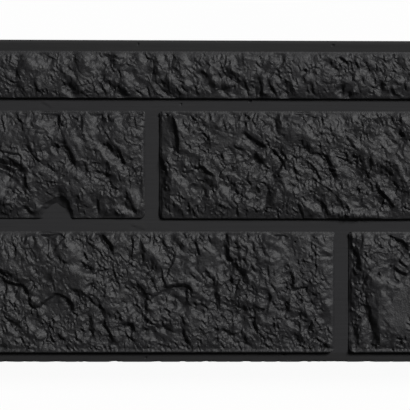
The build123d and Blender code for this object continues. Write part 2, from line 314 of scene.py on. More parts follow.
# Gentler faces that fall the same way
FALLING_FACES = [
    (5, 24, 56, 20, 65), (7, 20, 83, 23, 94), (9, 80, 51.5, 76, 63), (8, 69, 80, 79, 93.5),
    (8, 109, 53, 115, 61), (5, 104, 76, 109, 85), (8, 119, 84, 127, 96), (6, 111, 80, 116, 93),
    (5, 151, 57, 153, 63), (6, 153, 67, 158, 76), (6, 164, 80, 172, 95), (8, 222, 85, 229, 92),
    (9, 235, 83, 243, 92), (5, 176, 66, 181, 72), (4, 236, 54, 240, 63), (7, 208, 81, 216, 86),
    (7, 288, 82, 293, 95), (5, 315, 54, 316, 62), (4, 302, 76, 305, 84), (4, 321, 93, 322, 98),
    (5, 340, 82, 346, 86), (2, 320, 80, 327, 83.5, 338, 82), (5, 112, 150, 118, 158),
    (6, 110, 196, 113, 205), (5, 77, 195, 79, 203), (7, 62, 188, 65, 203), (6, 2, 200, 4, 212),
    (6, 206, 134, 208, 146), (9, 257, 155, 262, 162), (10, 163, 133, 165, 145), (6, 276, 113, 279, 128),
    (5, 255, 186, 262, 193), (6, 240, 182, 247, 187), (3, 203, 120, 205, 127),
    (6, 203, 178, 212, 184, 214, 190), (7, 272, 187, 269, 205), (5, 175, 203, 178, 213),
    (5, 283, 133, 290, 140), (5, 331, 172, 338, 178), (7, 297, 141, 303, 147), (4, 348, 180, 353, 177),
    (6, 379, 195, 384, 206), (10, 359, 155, 361, 168, 365, 176), (5, 1, 317, 4, 326, 6, 335),
    (5, 1, 343, 6, 347), (6, 48, 273, 53, 280), (4, 38, 275, 42, 280), (5, 130, 248, 131, 260),
    (4, 145, 235, 150, 236), (5, 172, 234, 175, 240), (6, 150, 262, 154, 269), (4, 140, 240, 141, 247),
    (8, 167, 324, 170, 332), (4, 141, 327, 156, 328), (8, 240, 271, 246, 274),
    (7, 254, 309, 258, 318, 259, 326), (8, 296, 333, 301, 341), (5, 299, 312, 303, 318),
    (5, 284, 262, 288, 268), (8, 402, 243, 408, 250), (5, 372, 285, 379, 289),
    (7, 377, 292, 379, 304, 380, 316), (7, 367, 312, 372, 322, 376, 332, 377, 346), (7, 363, 300, 368, 310),
    (10, 384, 330, 395, 340), (5, 168, 251, 170, 258), (10, 367, 302, 374, 318, 378, 330, 379, 346),
]
# Faces that rise the other way: the low ground is on the left hand
RISING_FACES = [
    # Top course
    (9, 29, 56, 35, 69), (4, 6.5, 69, 15, 80), (3, 19.5, 72, 24.5, 83), (6, 63, 68, 75.5, 75.5),
    (7, 62, 88, 72, 96), (14, 88, 56, 96, 68), (4, 118.5, 53, 121, 64), (8, 127, 58, 134, 65),
    (4, 122.5, 71.5, 133, 80.5), (2, 97, 76, 104, 85, 110, 93.5), (8, 39, 57, 48, 66),
    (2, 48, 70, 54.5, 76), (3, 12.5, 61, 15, 66.5), (8, 139, 55, 146, 62), (3, 156, 57, 159.5, 64),
    (6, 161, 60, 166, 68), (3, 175, 65, 185, 73), (4, 170, 72, 176, 79), (6, 182, 55, 190, 66),
    (2.5, 205, 60.5, 217, 67.5, 228, 72.5), (3.5, 231, 68.5, 241, 72.5), (4, 199, 66, 206, 72),
    (7, 155, 84, 163, 95), (5, 182, 90, 186, 95), (6, 214, 76, 221, 84), (5, 220, 91, 227, 97),
    (3, 231, 78, 236, 82), (4, 204, 86, 211, 92), (7, 244, 53, 250, 57), (6, 258, 70, 266, 74),
    (5, 263, 83, 269, 94), (4, 268, 73, 274, 84), (4, 247, 81, 250, 92), (6, 185, 80, 192, 86),
    (8, 271, 56, 279, 62), (5, 287, 54, 292, 58), (4, 272, 72, 279, 82), (3, 279, 80, 283, 87),
    (5, 306, 73, 313, 77), (2, 300, 76, 304, 83), (5, 323, 69, 336, 74), (4, 353, 67, 358, 70.5),
    (5, 356, 74, 360, 84), (4, 334, 88, 340, 97), (3, 354, 87, 358, 90), (5, 365, 70, 369, 77),
    (4, 368, 57, 373, 66), (5, 386, 62, 391, 70), (4, 392, 76, 405, 83), (3, 393, 84, 396, 88),
    (3, 376, 89, 380, 96), (3, 398, 94, 404, 97),
    # Middle course, left stone
    (4, 4, 117, 6, 124), (3, 19, 111, 23, 117), (3, 26, 115, 31, 124), (12, 38, 114, 52, 128),
    (5, 64, 113, 70, 122), (7, 66, 128, 76, 133), (8, 72, 137, 80, 143), (8, 86, 114, 94, 128),
    (4, 40, 140, 46, 147), (4, 51, 148, 58, 156), (7, 42, 152, 48, 158), (3.5, 13, 156, 21, 161),
    (3, 24, 156, 32, 166), (5, 40, 169, 50, 172, 57, 177), (5, 66, 165, 74, 170, 85, 176),
    (4, 36, 178, 44, 181), (4, 2, 171, 9, 174), (5, 4, 194, 16, 198), (8, 112, 113, 120, 117),
    (5, 116, 120, 124, 132), (4, 119, 145, 127, 149), (5, 104, 155, 116, 164), (4, 118, 170, 130, 175),
    (3, 95, 182, 106, 184), (4, 101, 176, 107, 179), (6, 130, 113, 142, 118), (4, 137, 133, 143, 138),
    (3, 133, 165, 140, 168), (6, 85, 195, 91, 205), (5, 119, 205, 129, 213), (5, 28, 188, 36, 190),
    (6, 38, 205, 45, 212), (4, 20, 192, 28, 198), (3, 63, 179, 70, 186),
    # Middle course, right stone
    (3, 164, 113, 167, 120), (5, 173, 113, 178, 123, 184, 133), (4, 182, 114, 190, 124),
    (3, 183, 131, 194, 136), (6, 199, 113, 206, 118), (3, 200, 122, 203, 130), (10, 222, 113, 234, 121),
    (2.5, 184, 148, 193, 151, 204, 157), (5, 199, 149, 205, 156), (5, 212, 156, 219, 161),
    (2.5, 223, 152, 232, 159), (4, 226, 157, 231, 164), (4, 204, 165, 210, 170, 217, 176),
    (3, 222, 173.5, 233, 174), (3, 233, 173.5, 240, 179), (4, 246, 173, 268, 174),
    (4, 244, 139, 252, 147, 262, 152), (8, 258, 113, 270, 118), (6, 262, 128, 270, 134),
    (2, 273, 115, 275, 132), (4, 281, 117, 288, 130), (3, 271, 147, 279, 153), (3, 276, 150, 283, 160),
    (4, 280, 170, 288, 173), (4, 168, 155, 171, 164), (3, 170, 172, 184, 186), (7, 187, 190, 198, 197),
    (4, 216, 193, 222, 197), (9, 223, 187, 231, 196), (3, 209, 196, 213, 199), (3, 217, 178, 219, 186),
    (4, 234, 197, 243, 202), (5, 246, 192, 253, 199), (4, 257, 205, 266, 208), (3, 170, 195, 180, 206),
    (4, 195, 203, 198, 215), (4, 183, 206, 187, 215), (5, 237, 155, 242, 160), (3, 243, 164, 250, 168),
    (9, 291, 113, 301, 125), (6, 304, 113, 311, 124), (6, 313, 113, 330, 117),
    (4, 346, 133, 352, 137, 358, 142), (4, 356, 144, 368, 150), (3, 363, 127, 366, 130),
    (6, 372, 123, 378, 128), (6, 378, 138, 392, 143), (5, 386, 148, 402, 152), (5, 372, 151, 380, 157),
    (4, 394, 162, 403, 166), (5, 402, 177, 410, 181), (5, 377, 173, 388, 180), (3, 381, 188.5, 391, 191.5),
    (2.5, 303, 155.5, 313, 156, 323, 159), (2.5, 308, 160, 316, 166, 324, 170), (4, 299, 169, 312, 172),
    (4, 318, 173, 326, 177), (3, 315, 180, 323, 185, 327, 187), (3, 328, 185, 336, 185.5),
    (4, 330, 157, 334, 164), (2, 341, 166.5, 348, 166.5), (3, 340, 187, 348, 187), (4, 350, 191, 358, 193),
    (4, 344, 198, 347, 201), (7, 285, 187, 300, 192), (2, 364, 204, 369, 207), (9, 305, 200, 318, 210),
    (3, 290, 158, 295, 163), (3, 279, 170, 289, 173), (3, 382, 203, 388, 211), (4, 398, 197, 401, 212),
    (4, 324, 134, 333, 142), (3, 350, 155, 355, 160),
    # Bottom course, left stone
    (2.5, 12.5, 240.5, 21, 250, 30, 260), (5, 2, 250, 7, 258), (4, 10, 252, 14, 258), (8, 38, 236, 46, 243),
    (9, 66, 240, 78, 250, 79, 260), (7, 93, 235, 102, 247), (3, 105, 249, 107, 254),
    (8, 73, 268, 84, 272, 92, 273), (4, 33, 273, 44, 280), (4, 28, 267, 36, 271), (4, 92, 278, 103, 279),
    (4, 84, 281, 89, 283), (5, 106, 279, 112, 286), (5, 109, 294, 119, 295), (4, 110, 305, 118, 306),
    (5, 33, 298, 40, 302), (4, 9, 287, 14, 293), (4, 6, 302, 13, 310), (3, 11, 314, 17, 319),
    (3, 2, 316, 10, 325, 20, 330), (5, 86, 289, 93, 292), (4, 53, 315, 58, 321), (4, 60, 328, 66, 335),
    (5, 42, 316, 47, 321), (4, 74, 297, 79, 301), (4, 79, 317, 85, 320), (3, 68, 324, 73, 329),
    (4, 96, 323, 102, 330), (4, 112, 346, 118, 350), (4, 62, 346, 67, 349), (4, 104, 341, 108, 346),
    (8, 38, 328, 44, 338), (5, 7, 325, 16, 334), (3, 30, 285, 33, 291), (6, 121, 235, 124, 242),
    (5, 136, 236, 139, 246), (4, 143, 239, 148, 245, 155, 253), (2.5, 152, 238, 159, 247, 166, 254),
    (3, 158, 240, 162, 246), (3, 167, 243, 173, 247, 177, 252), (4, 159, 252, 165, 258),
    (5, 160, 260, 165, 266), (5, 176, 257, 180, 268), (5, 184, 241, 187, 248), (4, 190, 241, 194, 249),
    (5, 177, 233, 183, 237), (3, 196, 236, 203, 245), (3, 180, 254, 192, 255), (5, 189, 257, 196, 262),
    (5, 168, 274, 175, 279), (4, 142, 280, 147, 287), (4, 151, 288, 156, 293), (3, 156, 276, 160, 286),
    (3, 120, 269, 128, 272), (4, 130, 266, 133, 273), (3, 142, 272, 147, 278),
    (2.5, 138, 305, 143, 311, 150, 318), (4, 132, 313, 137, 318), (3, 159, 320.5, 161, 323),
    (3, 170, 300, 178, 299), (6, 170, 308, 182, 310, 188, 313), (5, 190, 311, 204, 315),
    (4, 213, 313, 221, 317), (4, 218, 323, 229, 325), (5, 202, 294, 212, 299), (3, 188, 292, 190, 295),
    (5, 191, 281, 202, 285), (4, 208, 281, 212, 285), (4, 222, 274, 229, 280), (5, 215, 336, 220, 341),
    (5, 193, 342, 198, 346), (3, 192, 325, 196, 337), (10, 142, 335, 155, 337), (3, 116, 332, 123, 333),
    (3, 172, 321, 175, 324), (3, 136, 323, 142, 328), (5, 249, 233, 255, 235), (8, 267, 237, 276, 243),
    (3, 278, 236, 286, 241), (4, 293, 232, 304, 236), (4, 313, 232, 334, 235), (3, 258, 250, 263, 258),
    (8, 270, 251, 279, 258), (4, 232, 274, 238, 279), (4, 254, 271, 259, 277), (3, 262, 269, 270, 281),
    (4, 249, 274, 252, 279), (4, 241, 281, 247, 290), (3, 276, 286, 285, 285), (4, 294, 272, 300, 281),
    (6, 226, 294, 232, 300), (3, 236, 297, 245, 301), (4, 224, 316, 236, 317), (4, 258, 314, 265, 319),
    (6, 258, 294, 267, 303), (3, 276, 300, 283, 303), (4, 278, 311, 284, 315), (4, 292, 303, 295, 308),
    (4, 305, 305, 316, 312), (3, 295, 325, 303, 335, 311, 340, 318, 342), (4, 317, 317, 325, 323),
    (3, 313, 321, 317, 326), (4, 330, 338, 333, 346), (4, 322, 248, 333, 252), (3, 318, 258, 334, 258),
    (3, 328, 266, 332, 268), (4, 325, 299, 333, 303), (6, 286, 322, 296, 328),
    # Bottom course, right stone
    (4, 353, 234, 359, 238), (3, 353, 244, 357, 247), (3, 363, 234, 364, 244), (6, 366, 236, 372, 248),
    (4, 374, 233, 387, 234), (4, 380, 238, 384, 244), (4, 391, 242, 396, 246), (3, 388, 249.5, 400, 250),
    (3, 403, 236, 409, 243), (4, 390, 232.5, 407, 233.5), (2, 374, 252, 387, 254),
    (2.5, 371, 270, 379, 267, 388, 264, 397, 263), (6, 363, 258, 373, 264), (8, 374, 276, 384, 281),
    (6, 388, 280, 402, 286), (3, 383, 294, 389, 300), (3, 356, 292, 360, 297), (3, 358, 294, 366, 302),
    (3.5, 356, 300, 358, 312, 366, 320, 371, 330), (3, 355, 320, 362, 326), (3, 372, 292, 375, 297),
    (4, 367, 346, 371, 351),
]
# Broad dark faces, under the finer breaks, that fall as the steep ones do
BROAD_FALLS = [
    # Top course
    (7, 78, 50, 75, 66), (8, 70, 81, 79, 95), (8, 113, 50, 110, 66), (8, 120, 83, 126, 97),
    (6, 156, 58, 155, 80), (9, 164, 80, 180, 97), (5, 175, 51, 177, 63), (8, 201, 70, 209, 80),
    (7, 257, 75, 260, 98), (8, 288, 83, 292, 98), (5, 311, 81, 313, 94), (10, 344, 84, 353, 98),
    (7, 383, 79, 385, 93), (6, 23, 56, 18, 80), (6, 32, 78, 38, 93), (8, 222, 86, 240, 92),
    # Middle course, left stone
    (8, -6, 159, 14, 162, 24, 170, 27, 188), (5, 25, 126, 32, 152), (8, 61, 138, 70, 152, 77, 168),
    (5, 58, 111, 60, 128), (7, -4, 210, 8, 217), (7, 26, 204, 34, 214), (8, 100, 194, 102, 217),
    (8, 107, 142, 128, 162), (7, 106, 166, 116, 184), (5, 128, 195, 136, 213), (5, 101, 111, 106, 125),
    # Middle course, right stone
    (9, 166, 112, 174, 128, 178, 153), (9, 163, 156, 167, 178, 165, 208), (7, 244, 131, 267, 147),
    (5, 235, 144, 246, 152), (7, 254, 155, 264, 163), (9, 197, 164, 214, 184), (9, 273, 185, 270, 206),
    (6, 284, 148, 282, 164, 273, 177), (8, 304, 137, 309, 151), (5, 277, 111, 280, 135),
    (6, 325, 152, 337, 180), (8, 359, 152, 366, 178), (10, 390, 161, 398, 178), (7, 374, 183, 394, 210),
    (6, 397, 180, 412, 194), (5, 322, 196, 328, 218),
    # Bottom course, left stone
    (8, -5, 270, 10, 277, 22, 286, 28, 294), (6, 28, 298, 36, 308), (6, 36, 309, 57, 293),
    (8, 56, 291, 66, 296, 74, 308), (7, 72, 286, 82, 294), (8, 88, 294, 100, 304, 110, 318),
    (8, 116, 320, 136, 328), (6, 91, 312, 93, 340), (9, 104, 322, 114, 343), (8, 101, 234, 112, 250),
    (8, 140, 248, 150, 258, 160, 272), (9, 142, 284, 146, 310), (9, 163, 291, 174, 285, 187, 286, 192, 300),
    (7, 142, 320, 172, 328), (7, 182, 318, 190, 342), (9, 226, 234, 229, 254, 246, 274),
    (6, 252, 246, 264, 268), (7, 233, 280, 237, 294), (6, 214, 272, 219, 305), (8, 244, 303, 266, 309),
    (8, 252, 314, 259, 329), (6, 242, 326, 247, 344), (7, 290, 272, 293, 291), (7, 287, 298, 290, 315),
    (8, 300, 308, 314, 334), (7, 295, 330, 302, 343),
    # Bottom course, right stone
    (10, 354, 238, 359, 256, 353, 290, 358, 338), (9, 366, 276, 372, 300, 376, 345),
    (8, 393, 259, 405, 276), (6, 396, 238, 410, 247),
    # Further faces, placed by a program where a render came out lighter than the photograph
    (12, 234, 236, 244, 254, 262, 270), (10, 178, 162, 190, 178, 206, 196),
    (12, 308, 280, 318, 302, 330, 325), (12, 380, 168, 392, 182, 406, 198),
    (10, 222, 290, 240, 303, 268, 316), (8, 2, 303, 22, 311, 42, 318), (10, 242, 320, 252, 329, 262, 338),
    (10, 392, 113, 402, 128, 410, 142), (8, 226, 70, 242, 80, 254, 88), (8, 168, 54, 174, 70, 186, 86),
    (8, 184, 268, 198, 280, 212, 291), (8, 2, 166, 16, 176, 28, 190), (7, 93, 58, 100, 68, 107, 78),
    (6, 135, 78, 146, 84, 157, 92), (7, 139, 255, 142, 266, 146, 277), (7, 66, 288, 77, 292, 88, 299),
    (8, 0, 266, 4, 278, 10, 291), (7, 142, 330, 154, 334, 166, 339), (8, 399, 150, 404, 162, 409, 174),
    (7, 398, 54, 403, 66, 408, 78), (7, 219, 251, 227, 261, 236, 272), (6, 366, 54, 377, 59, 388, 65),
    (6, 239, 276, 249, 287, 258, 298), (7, 275, 171, 281, 184, 288, 196), (7, 227, 326, 233, 335, 241, 344),
    (6, 367, 153, 371, 163, 375, 174), (6, 95, 327, 102, 335, 109, 344), (5, 216, 166, 220, 173, 223, 180),
    (6, 299, 136, 305, 145, 313, 153), (6, 367, 178, 371, 188, 375, 198), (6, 231, 145, 235, 152, 241, 158),
    (6, 322, 56, 331, 62, 342, 70), (14, 128, 288, 158, 297, 188, 306), (14, 352, 304, 358, 330, 364, 350),
    (14, 194, 250, 217, 265, 244, 282), (10, 0, 314, 13, 322, 30, 334), (10, 230, 282, 252, 289, 275, 298),
    (8, 193, 168, 201, 179, 210, 192), (8, 0, 268, 14, 276, 30, 283), (9, 223, 297, 237, 309, 252, 321),
    (8, 230, 328, 243, 336, 254, 345), (8, 119, 308, 127, 316, 136, 325), (7, 14, 288, 20, 297, 27, 305),
    (8, 224, 69, 238, 79, 250, 87), (7, 361, 55, 368, 62, 376, 73), (6, 113, 327, 121, 332, 129, 338),
    (5, 65, 54, 71, 58, 78, 62), (10, 126, 297, 138, 306, 151, 316), (9, 194, 261, 206, 274, 219, 289),
    (10, 211, 237, 230, 256, 251, 277), (7, 165, 288, 178, 296, 191, 305),
]
# Broad bright faces that rise the other way
BROAD_RISES = [
    # Top course
    (14, 32, 54, 42, 70), (10, 84, 54, 91, 67), (6, 62, 68, 74, 76), (9, 122, 54, 133, 88),
    (8, 246, 53, 258, 58), (6, 258, 72, 276, 79), (6, 324, 67, 338, 75), (6, 358, 70, 372, 82),
    (6, 394, 76, 408, 84),
    # Middle course, left stone
    (16, 30, 114, 50, 138), (9, 88, 112, 95, 128), (7, 115, 111, 120, 130), (8, 68, 128, 82, 148),
    (7, 130, 113, 143, 120), (8, 102, 150, 128, 172), (8, 36, 167, 58, 177), (8, 66, 162, 88, 182),
    (9, 0, 188, 17, 200), (8, 134, 188, 141, 204), (7, 116, 202, 130, 214),
    # Middle course, right stone
    (8, 174, 113, 186, 122), (6, 201, 111, 206, 122), (9, 220, 114, 236, 124), (9, 257, 118, 270, 137),
    (6, 190, 146, 206, 156), (6, 246, 172, 269, 174), (9, 188, 189, 200, 199), (9, 217, 187, 234, 199),
    (5, 242, 201, 262, 207), (14, 290, 114, 345, 130), (9, 352, 136, 400, 152), (8, 377, 166, 389, 181),
    (7, 332, 150, 344, 170), (6, 322, 181, 345, 190), (10, 304, 198, 318, 214), (10, 348, 198, 364, 216),
    # Bottom course, left stone
    (10, 37, 233, 45, 245), (10, 66, 238, 76, 254), (5, 18, 246, 42, 278), (9, 70, 266, 90, 276),
    (8, 98, 281, 114, 291), (6, 93, 235, 101, 247), (9, 145, 240, 165, 262), (5, 160, 305, 184, 309),
    (8, 188, 310, 212, 320), (9, 266, 233, 277, 243), (10, 270, 250, 282, 268), (9, 320, 234, 334, 250),
    (8, 322, 254, 334, 274), (7, 274, 272, 284, 286), (6, 202, 286, 212, 300), (8, 22, 322, 42, 336),
    # Bottom course, right stone
    (10, 366, 236, 386, 248), (7, 380, 278, 398, 286),
    # Further faces, placed by a program where a render came out darker than the photograph
    (24, 0, 124, 70, 122, 143, 122), (14, 272, 118, 292, 124, 312, 132), (10, 34, 233, 43, 243, 52, 257),
    (8, 330, 212, 356, 213, 382, 213), (8, 2, 196, 14, 201, 28, 207), (7, 26, 342, 42, 345, 62, 348),
    (9, 266, 234, 278, 243, 287, 257), (8, 212, 114, 220, 123, 229, 133), (9, 69, 235, 81, 243, 90, 252),
    (7, 376, 234, 392, 236, 406, 242), (6, 138, 341, 146, 346, 154, 350), (7, 347, 134, 355, 143, 362, 151),
    (7, 122, 82, 131, 90, 138, 97), (5, 305, 344, 313, 346, 322, 349), (7, 112, 201, 121, 211, 135, 217),
    (6, 209, 193, 218, 198, 226, 203), (7, 90, 143, 106, 149, 122, 160), (7, 130, 56, 136, 63, 143, 72),
    (6, 367, 120, 374, 125, 382, 132), (7, 65, 267, 80, 271, 92, 275), (12, 32, 234, 42, 246, 52, 264),
    (10, 84, 126, 95, 144, 113, 158), (9, 330, 210, 354, 212, 381, 213), (8, 187, 179, 193, 190, 201, 200),
    (8, 354, 122, 369, 126, 381, 133), (7, 166, 113, 173, 118, 183, 126), (6, 25, 347, 43, 348, 61, 349),
    (8, 293, 114, 302, 122, 311, 135), (7, 0, 195, 6, 200, 13, 206), (7, 57, 245, 66, 253, 74, 260),
    (7, 265, 235, 272, 239, 281, 245), (12, 37, 232, 46, 243, 57, 254), (10, 26, 242, 34, 256, 43, 269),
    (10, 266, 233, 277, 239, 289, 246), (10, 166, 111, 177, 118, 189, 127),
]
# Hollows under a steep wall: height of the wall's foot and rise of the ground away from it, the wall's
# slope, and the points of its line, with the hollow on its right hand
RECESSES = [
    (5.5, -0.15, 1.4, 170, 110, 173, 120, 175, 132, 175.5, 145, 173, 154),
    (1.0, -0.1, 1.2, 158.5, 153, 159, 165, 159.5, 178, 159, 192, 158.5, 208),
    (1.0, 0.0, 1.3, 348.3, 242, 349.3, 262, 348.3, 280, 348.3, 300, 348.3, 322, 349.5, 347),
    (3.5, 0.5, 1.8, 273, 151, 279, 157, 282.5, 162, 280, 168, 272, 175),
]
# Rise of a hollow's ground past its line's ends, its lowest level, and the share of the broken detail in it
RECESS_END_RISE, LOWEST_GROUND, RECESS_DETAIL = 0.8, 1.0, 0.35
# Smooth plates, as a middle and half sizes in pixels
PLATES = [
    (95, 62, 8, 9), (35, 61, 9, 9), (186, 60, 10, 8), (50, 60, 8, 6), (328, 58, 8, 5), (292, 88, 5, 6),
    (46, 127, 10, 8), (75, 143, 6, 8), (91, 124, 7, 10), (89, 198, 8, 8), (223, 140, 11, 9),
    (225, 192, 8, 8), (259, 174, 11, 4), (345, 173, 5, 4), (312, 209, 9, 9), (356, 208, 11, 10),
    (262, 160, 8, 5), (82, 271, 11, 6), (74.6, 250, 6, 13), (54, 308, 17, 10), (207, 263, 21, 17),
    (272, 241, 6, 6), (279, 258, 9, 22), (149, 335, 9, 5), (176, 296, 9, 6), (396, 304, 20, 40),
    (378, 320, 10, 24), (332, 262, 12, 34), (330, 310, 10, 22), (346, 275, 6, 40), (216, 255, 16, 22),
    (195, 270, 10, 14), (40, 205, 20, 18), (60, 210, 12, 14), (98, 207, 14, 12), (138, 195, 6, 14),
    (75, 255, 10, 20), (52, 302, 14, 12), (165, 332, 18, 8), (398, 272, 12, 10), (294, 255, 8, 18),
    (34, 322, 7, 8),
]
# A piece that has broken off one stone's lower edge: corners, and the width of the slope along each side, in
# pixels, the floor's level, and the sides' jags as amount, size, and seed
SPALL = [(14, 226), (30, 211), (40, 206), (42, 197), (50, 186), (68, 198), (71.5, 212), (76, 226)]
SPALL_SLOPES = [9, 5, 6, 6, 12, 4, 3]
SPALL_FLOOR = -0.6
SPALL_JAG = (1.5, 7.0, 51)
# Height of the stones' lower edge, and how it runs along the middle course: photo pixels and millimetres
LOWER_EDGE = 3.5
MIDDLE_LOWER_EDGE = [
    (0, 1.0), (20, 0.5), (36, 0.7), (74, 1.2), (86, 0.7), (100, 0.6), (145, 1.4), (160, 2.8), (330, 3.0),
    (345, 3.6), (395, 3.6), (410, 3.2),
]
# Rounded bumps and dimples, as a middle, half sizes in pixels and a rise in millimetres
ROUNDS = [
    (137.5, 192, 6, 17, -1.8), (247, 291, 9, 9, 1.3), (208, 295, 6.5, 6.5, 1.5), (272, 240, 6, 6, 1.2),
    (345, 172.5, 6, 6, 1.2), (264, 298, 5, 5, 1.2), (186, 167, 5, 5, 1.0), (57, 244, 6, 8, 1.4),
]
# Scratches in the joints, as points in pixels
SCRATCHES = [(40, 101, 53, 108.5), (130, 225, 146, 230), (345.5, 306.5, 349, 313)]
# Blow holes, as a middle and a radius in pixels
BLOW_HOLES = [
    (138, 44, 0.9), (333, 45, 1.0), (393.9, 55.3, 1.3), (305.3, 70.4, 1.4), (250, 101, 1.2),
    (181, 104.5, 0.9), (295, 242, 0.9), (300.7, 301.3, 2.2), (41.9, 324, 1.0), (146, 357.5, 1.0),
    (284, 354, 1.4), (215.8, 340.5, 3.0), (216.8, 330, 2.0), (402, 135, 2.6), (57, 146, 2.0),
]


def on_board(pixels, level=0.0):
    """Photo pixels as millimetres on the board, at a level over the joint floor."""
    pixels = np.asarray(pixels, float)
    across = (pixels[..., 0] - 0.5 * PHOTO_SIZE) * SENSOR / PHOTO_SIZE
    up = (0.5 * PHOTO_SIZE - pixels[..., 1]) * SENSOR / PHOTO_SIZE
    rays = np.stack((across, up, np.full(across.shape, -LENS)), axis=-1) @ np.array(VIEW_TURN).T
    reach = (JOINT_FLOOR + level - VIEW_EYE.z) / rays[..., 2]
    return np.array(VIEW_EYE.xy) + reach[..., None] * rays[..., :2]


def line_on_rock(points):
    """A line of photo pixels, written one after another, as points on the rock."""
    return on_board(np.reshape(points, (-1, 2)), RELIEF_LEVEL)


def oval_on_rock(x, y, px, py, half_x, half_y):
    """0 in the middle of an oval that is given in photo pixels, 1 on its edge, and more outside."""
    middle = on_board((px, py), RELIEF_LEVEL)
    return oval(x, y, middle, (half_x * PHOTO_SCALE, half_y * PHOTO_SCALE))


def oval(x, y, middle, half):
    """0 in the middle of an oval, 1 on its edge, and more outside."""
    return np.hypot((x - middle[0]) / half[0], (y - middle[1]) / half[1])


@functools.lru_cache(maxsize=None)
def chances(seed, count):
    """A square table of random numbers from 0 to 1."""
    return np.random.default_rng(seed).random((TABLE, TABLE, count))


def eased(t):
    """A smooth step from 0 to 1."""
    t = np.clip(t, 0.0, 1.0)
    return t * t * (3.0 - 2.0 * t)


def calmed(least, distance, width):
    """A share that grows from the least one on an edge to 1 over a width."""
    return least + (1.0 - least) * eased(distance / width)


def softer_least(first, second):
    """The lesser of two heights, with the corner between them rounded."""
    return 0.5 * (first + second - np.sqrt((first - second) ** 2 + EDGE_ROUNDING * EDGE_ROUNDING))


def even_steps(start, end, step):
    """Evenly spaced places from start to end."""
    return np.linspace(start, end, max(2, round((end - start) / step) + 1))


def between(table, i, k, s, t):
    """Values between the four entries of a table around each place."""
    (left, right), (low, high) = i, k
    lower = table[left, low] * (1 - s) + table[right, low] * s
    upper = table[left, high] * (1 - s) + table[right, high] * s
    return lower * (1 - t) + upper * t


def lumps(x, y, size, seed):
    """Smooth noise from -1 to 1, with lumps about one size across."""
    table = chances(seed, 1)[:, :, 0]
    column, row = np.floor(x / size).astype(int), np.floor(y / size).astype(int)
    s, t = eased(x / size - column), eased(y / size - row)
    columns = column % TABLE, (column + 1) % TABLE
    rows = row % TABLE, (row + 1) % TABLE
    return 2.0 * between(table, columns, rows, s, t) - 1.0


def along_grain(x, y, size, stretch):
    """Coordinates in cells that are drawn out along the grain."""
    along = x * math.cos(GRAIN_ANGLE) + y * math.sin(GRAIN_ANGLE)
    across = y * math.cos(GRAIN_ANGLE) - x * math.sin(GRAIN_ANGLE)
    return along / (size * stretch), across / size


def facets(x, y, size, stretch, seed):
    """Flat facets between creases, from -1 to 1: random heights joined by triangles."""
    u, v = along_grain(x, y, size, stretch)
    u = u + CREASE_BEND * lumps(u, v, CREASE_BEND_SIZE, seed + 1)
    v = v + CREASE_BEND * lumps(u, v, CREASE_BEND_SIZE, seed + 2)
    skewed = SKEW * (u + v)
    u, v = u + skewed, v + skewed
    column, row = np.floor(u).astype(int), np.floor(v).astype(int)
    s, t = u - column, v - row
    right = s > t
    table = 2.0 * chances(seed, 1)[:, :, 0] - 1.0
    near = table[column % TABLE, row % TABLE]
    side = table[(column + right) % TABLE, (row + ~right) % TABLE]
    far = table[(column + 1) % TABLE, (row + 1) % TABLE]
    most, least = np.maximum(s, t), np.minimum(s, t)
    return near * (1.0 - most) + side * (most - least) + far * least


def chips(x, y, size, stretch, seed):
    """Tilted chips with sharp steps between them, about -1 to 1."""
    u, v = along_grain(x, y, size, stretch)
    column, row = np.floor(u).astype(int), np.floor(v).astype(int)
    table = chances(seed, 5)
    nearest = np.full(len(x), np.inf)
    height = np.zeros(len(x))
    for i in (-1, 0, 1):
        for j in (-1, 0, 1):
            site = table[(column + i) % TABLE, (row + j) % TABLE]
            du = u - column - i - site[:, 0]
            dv = v - row - j - site[:, 1]
            away = du * du + dv * dv
            plane = 2.0 * site[:, 2] - 1.0 + CHIP_TILT * ((site[:, 3] - 0.5) * du + (site[:, 4] - 0.5) * dv)
            height = np.where(away < nearest, plane, height)
            nearest = np.minimum(nearest, away)
    return height


def beside(x, y, line):
    """Where points lie beside a line: to its right hand, along it and past its ends. Its length is last."""
    closest = np.full(len(x), np.inf)
    side = np.zeros(len(x))
    travelled = np.zeros(len(x))
    start = 0.0
    for (ax, ay), (bx, by) in zip(line[:-1], line[1:]):
        length = math.hypot(bx - ax, by - ay)
        ex, ey = (bx - ax) / length, (by - ay) / length
        t = np.clip((x - ax) * ex + (y - ay) * ey, 0.0, length)
        rx, ry = x - ax - t * ex, y - ay - t * ey
        right_hand = rx * ey - ry * ex
        rank = np.hypot(rx, ry) - SQUARE_BIAS * np.abs(right_hand)
        better = rank < closest
        closest = np.where(better, rank, closest)
        side = np.where(better, right_hand, side)
        travelled = np.where(better, start + t, travelled)
        start += length
    beyond = np.sqrt(np.maximum(closest * closest - side * side, 0.0))
    return side, travelled, beyond, start


